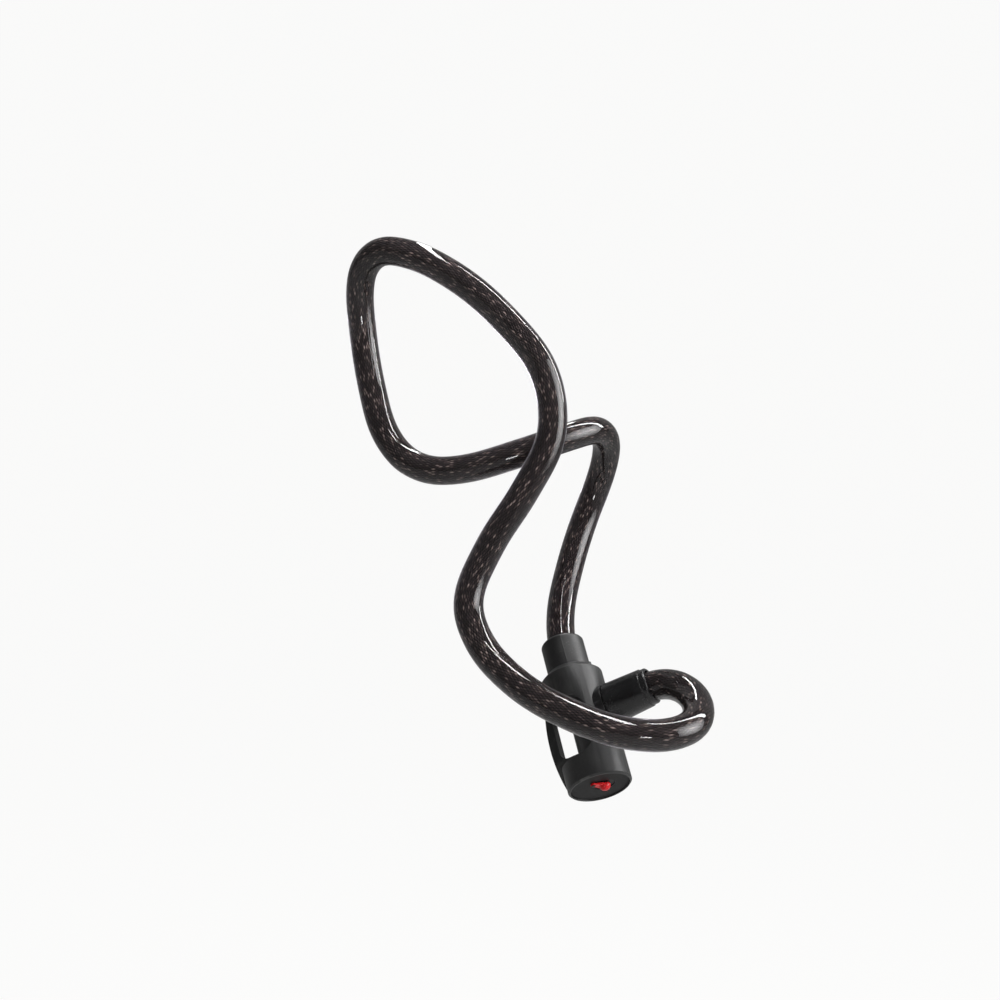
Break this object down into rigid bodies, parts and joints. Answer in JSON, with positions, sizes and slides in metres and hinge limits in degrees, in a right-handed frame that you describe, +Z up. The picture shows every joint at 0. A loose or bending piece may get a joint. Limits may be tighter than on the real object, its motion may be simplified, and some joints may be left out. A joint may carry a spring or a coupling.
{
  "type": "cable lock",
  "caption": "Armoured cable lock hanging closed over a peg: sheathed loop with a fixed collar, a keyed cylinder body with a side bow, and a plug in its socket",
  "frame": {"origin": "the point on the underside of the cable's top bend where the peg or hook bears, the mount hang_point; the whole lock hangs below it", "axes": "+Z up and -Z the way the lock hangs; +Y away from the side that shows the keyhole cover's face and the plug; +X to the right as seen from that side. The lock body leans: its own axes, with +X the plug's pull-out direction and +Z from the keyhole end to the collar, are turned by -28, -26 and -20 degrees about X, Y and Z"},
  "size_m": [0.2219, 0.1835, 0.3475],
  "materials": {
    "sheath": "glossy smoky sheath over a flecked braid",
    "body_plastic": "satin",
    "swaged_steel": "plain",
    "pin_steel": "ground",
    "rope_steel": "stranded",
    "screw_steel": "blackened",
    "zinc": "die cast",
    "ring_plastic": "satin",
    "seal_rubber": "matt",
    "plate_plastic": "satin",
    "cover_red": "glossy",
    "rivet_steel": "blackened",
    "core_brass": "turned",
    "wafer_brass": "stamped",
    "spring_steel": "drawn",
    "clip_steel": "stamped",
    "cam_steel": "sintered",
    "bolt_steel": "stamped",
    "ferrule_plastic": "semi-gloss",
    "stud_steel": "plated"
  },
  "bodies": {
    "lock": {"cable": "sheath", "gland_collar": "body_plastic", "anchor_sleeve": "swaged_steel", "anchor_pin": "pin_steel", "rope_end_fixed": "rope_steel", "shell_front": "body_plastic", "shell_rear": "body_plastic", "shell_screws": "screw_steel", "lock_housing": "zinc", "socket_ring": "ring_plastic", "socket_seal": "seal_rubber", "end_plate": "plate_plastic", "cover_rivet": "rivet_steel"},
    "cover": {"keyhole_cover": "cover_red"},
    "core": {"key_core": "core_brass", "wafer_springs": "spring_steel", "core_clip": "clip_steel", "drive_cam": "cam_steel"},
    "wafer_stack": {"wafers": "wafer_brass"},
    "bolt": {"bolt_plate": "bolt_steel"},
    "plug": {"plug_ferrule": "ferrule_plastic", "plug_stud": "stud_steel", "plug_sleeve": "swaged_steel", "plug_set_screw": "screw_steel", "rope_end_plug": "rope_steel"}
  },
  "joints": [
    {"name": "plug_pull", "type": "slide", "parent": "lock", "child": "plug", "axis": [0.8446, -0.3074, 0.4384], "range_m": [0, 0.028], "deforming": ["cable"]},
    {"name": "core_turn", "type": "hinge", "parent": "lock", "child": "core", "pos_m": [0.13563, -0.05213, -0.30349], "axis": [-0.2031, 0.5735, 0.7936], "range_deg": [0, 90]},
    {"name": "bolt_slide", "type": "slide", "parent": "lock", "child": "bolt", "axis": [0.4954, 0.7593, -0.422], "range_m": [0, 0.0024]},
    {"name": "wafer_slide", "type": "slide", "parent": "core", "child": "wafer_stack", "axis": [0.4954, 0.7593, -0.422], "range_m": [0, 0.0008]},
    {"name": "cover_swing", "type": "hinge", "parent": "lock", "child": "cover", "pos_m": [0.13185, -0.06616, -0.31574], "axis": [-0.2031, 0.5735, 0.7936], "range_deg": [-95, 95]}
  ],
  "couplings": [
    {"joint": "bolt_slide", "follows": "core_turn", "m_per_rad": 0.0015279}
  ]
}
